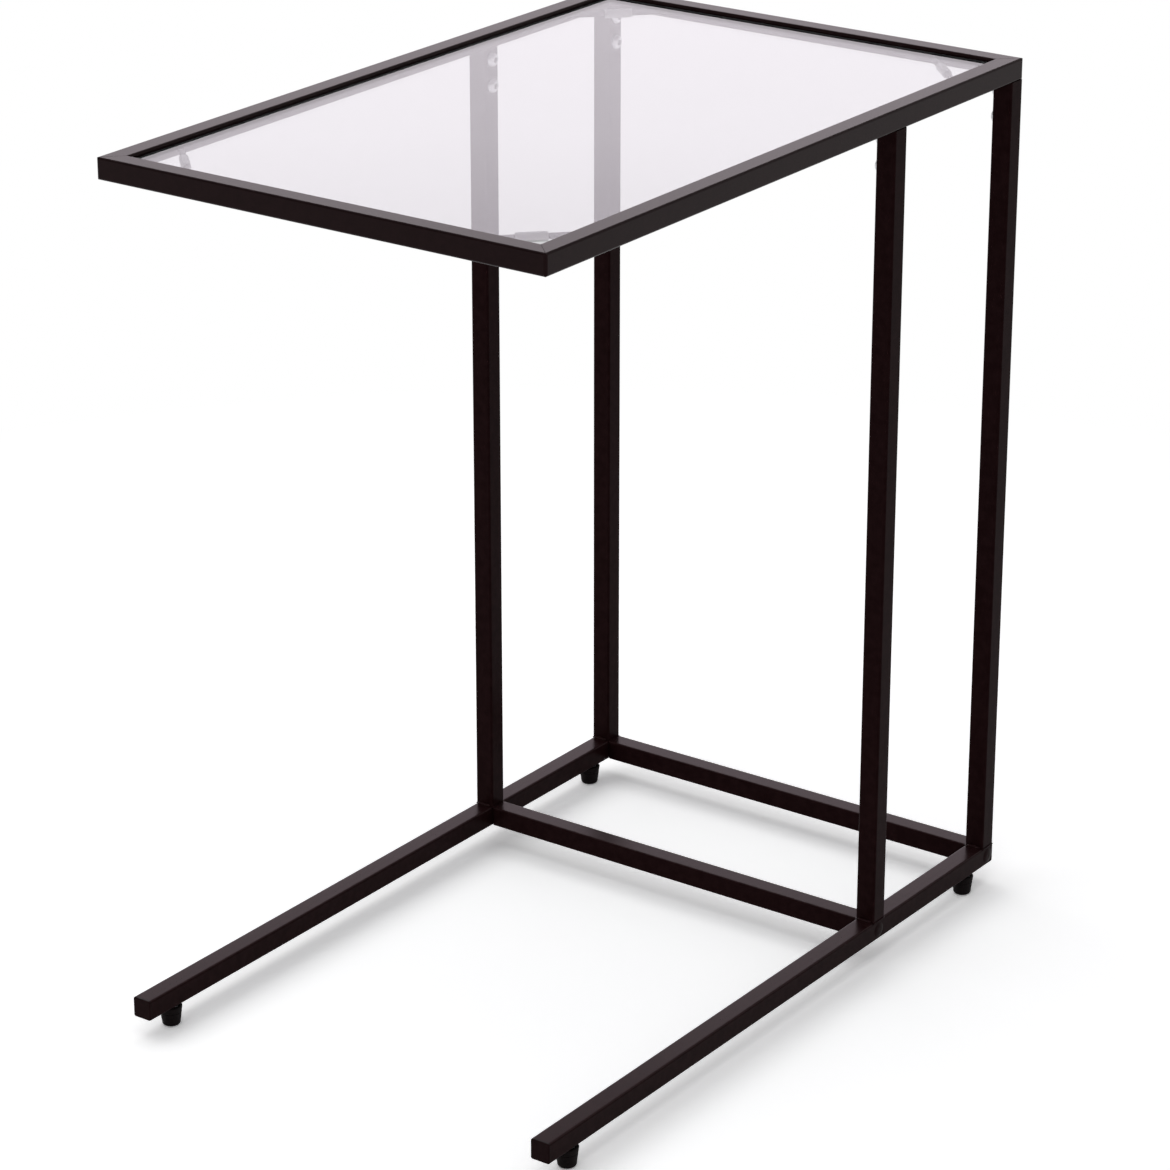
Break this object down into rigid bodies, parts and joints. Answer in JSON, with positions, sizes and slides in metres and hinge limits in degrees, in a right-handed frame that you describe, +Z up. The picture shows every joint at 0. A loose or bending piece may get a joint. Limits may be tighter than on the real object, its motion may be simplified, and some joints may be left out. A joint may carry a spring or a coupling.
{
  "type": "c shaped side table",
  "caption": "C-shaped side table of dark square steel tube with an inset glass top, open at one end so that its runners slide under a seat.",
  "frame": {"origin": "on the floor under the middle of the table's footprint", "axes": "+Z up, +X across the table to its right, -Y towards the open end of the C"},
  "size_m": [0.3566, 0.56, 0.63],
  "materials": {
    "frame_paint": "satin",
    "glass": "polished",
    "zinc_hardware": "satin",
    "black_plastic": "matte",
    "rubber": "matte",
    "clear_sleeve": "gloss"
  },
  "bodies": {
    "frame": {"top_front_rail": "frame_paint", "top_rear_rail": "frame_paint", "top_left_rail": "frame_paint", "top_right_rail": "frame_paint", "left_runner": "frame_paint", "right_runner": "frame_paint", "front_crossbar": "frame_paint", "rear_crossbar": "frame_paint", "corner_rod_front_left": "frame_paint", "post_front_left": "frame_paint", "spigot_front_left": "zinc_hardware", "rod_sleeve_front_left": "clear_sleeve", "end_cap_front_left": "black_plastic", "corner_rod_rear_left": "frame_paint", "post_rear_left": "frame_paint", "spigot_rear_left": "zinc_hardware", "rod_sleeve_rear_left": "clear_sleeve", "end_cap_rear_left": "black_plastic", "corner_rod_front_right": "frame_paint", "post_front_right": "frame_paint", "spigot_front_right": "zinc_hardware", "rod_sleeve_front_right": "clear_sleeve", "end_cap_front_right": "black_plastic", "corner_rod_rear_right": "frame_paint", "post_rear_right": "frame_paint", "spigot_rear_right": "zinc_hardware", "rod_sleeve_rear_right": "clear_sleeve", "end_cap_rear_right": "black_plastic", "post_bolts": "zinc_hardware", "crossbar_plugs": "zinc_hardware", "crossbar_screws": "zinc_hardware", "hole_covers": "black_plastic", "rivet_nuts": "zinc_hardware"},
    "glass": {"glass_top": "glass"},
    "foot_front_left": {"foot_pad_front_left": "rubber"},
    "stud_front_left": {"foot_stud_front_left": "zinc_hardware"},
    "foot_rear_left": {"foot_pad_rear_left": "rubber"},
    "stud_rear_left": {"foot_stud_rear_left": "zinc_hardware"},
    "foot_front_right": {"foot_pad_front_right": "rubber"},
    "stud_front_right": {"foot_stud_front_right": "zinc_hardware"},
    "foot_rear_right": {"foot_pad_rear_right": "rubber"},
    "stud_rear_right": {"foot_stud_rear_right": "zinc_hardware"}
  },
  "joints": [
    {"name": "glass_lift", "type": "slide", "parent": "frame", "child": "glass", "axis": [0, 0, 1], "range_m": [0, 0.05]},
    {"name": "foot_travel_front_left", "type": "slide", "parent": "frame", "child": "foot_front_left", "axis": [0, 0, -1], "range_m": [0, 0.008]},
    {"name": "foot_turn_front_left", "type": "hinge", "parent": "foot_front_left", "child": "stud_front_left", "pos_m": [-0.17, -0.25, 0], "axis": [0, 0, -1], "range_deg": [0, 2880]},
    {"name": "foot_travel_rear_left", "type": "slide", "parent": "frame", "child": "foot_rear_left", "axis": [0, 0, -1], "range_m": [0, 0.008]},
    {"name": "foot_turn_rear_left", "type": "hinge", "parent": "foot_rear_left", "child": "stud_rear_left", "pos_m": [-0.17, 0.25, 0], "axis": [0, 0, -1], "range_deg": [0, 2880]},
    {"name": "foot_travel_front_right", "type": "slide", "parent": "frame", "child": "foot_front_right", "axis": [0, 0, -1], "range_m": [0, 0.008]},
    {"name": "foot_turn_front_right", "type": "hinge", "parent": "foot_front_right", "child": "stud_front_right", "pos_m": [0.17, -0.25, 0], "axis": [0, 0, -1], "range_deg": [0, 2880]},
    {"name": "foot_travel_rear_right", "type": "slide", "parent": "frame", "child": "foot_rear_right", "axis": [0, 0, -1], "range_m": [0, 0.008]},
    {"name": "foot_turn_rear_right", "type": "hinge", "parent": "foot_rear_right", "child": "stud_rear_right", "pos_m": [0.17, 0.25, 0], "axis": [0, 0, -1], "range_deg": [0, 2880]}
  ],
  "couplings": [
    {"joint": "foot_turn_front_left", "follows": "foot_travel_front_left", "rad_per_m": 6283.2},
    {"joint": "foot_turn_rear_left", "follows": "foot_travel_rear_left", "rad_per_m": 6283.2},
    {"joint": "foot_turn_front_right", "follows": "foot_travel_front_right", "rad_per_m": 6283.2},
    {"joint": "foot_turn_rear_right", "follows": "foot_travel_rear_right", "rad_per_m": 6283.2}
  ]
}
